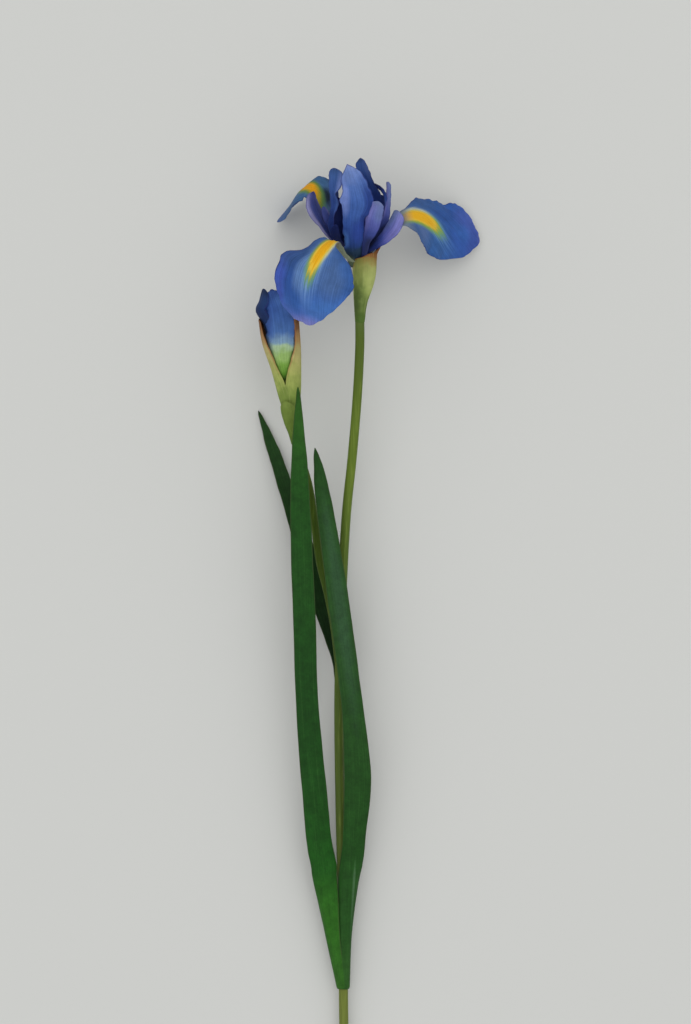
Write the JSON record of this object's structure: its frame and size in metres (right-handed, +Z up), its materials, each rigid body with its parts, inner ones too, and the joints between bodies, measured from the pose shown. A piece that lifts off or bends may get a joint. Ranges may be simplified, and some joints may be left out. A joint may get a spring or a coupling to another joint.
{
  "type": "iris flower",
  "caption": "Cut stem of a blue iris lying on its side, with an open bloom of arching falls and upright standards, a closed bud on a side branch and long narrow leaves.",
  "frame": {"origin": "centre of the bottom of the bounding box, on the surface that the stem lies on", "axes": "+Y runs along the stem from its cut end towards the bloom, +Z is up from the surface, and +X is to the right when it is seen from above with the bloom at the top"},
  "size_m": [0.127, 0.5282, 0.0816],
  "materials": {
    "petal": "soft satin, deep to mid blue with fine darker veins and a yellow signal patch on each fall",
    "style_arm": "soft satin, lavender blue",
    "stamen": "matt, pale cream",
    "bud_petal": "soft satin, blue above fading through pale teal to lime green",
    "bract": "matt, pale olive green with papery brown tips",
    "stem": "satin, olive green",
    "tube": "satin, pale green",
    "leaf": "satin with a soft sheen, dark green with fine lengthwise veins"
  },
  "bodies": {
    "root": {"main_stem": "stem", "bud_branch": "stem", "flower_tube": "tube", "fall_front": "petal", "fall_right": "petal", "fall_back": "petal", "style_arm_right": "style_arm", "style_arm_back": "style_arm", "style_arm_front": "style_arm", "standard_front": "petal", "standard_left": "petal", "standard_back": "petal", "stamen_right": "stamen", "stamen_back": "stamen", "stamen_front": "stamen", "bud_petal_front": "bud_petal", "bud_petal_left": "bud_petal", "bud_petal_back": "bud_petal", "bloom_spathe_outer": "bract", "bloom_spathe_inner": "bract", "bud_spathe_left": "bract", "bud_spathe_right": "bract", "bud_bract": "bract", "leaf_left": "leaf", "leaf_right": "leaf", "leaf_back": "leaf"}
  },
  "joints": []
}
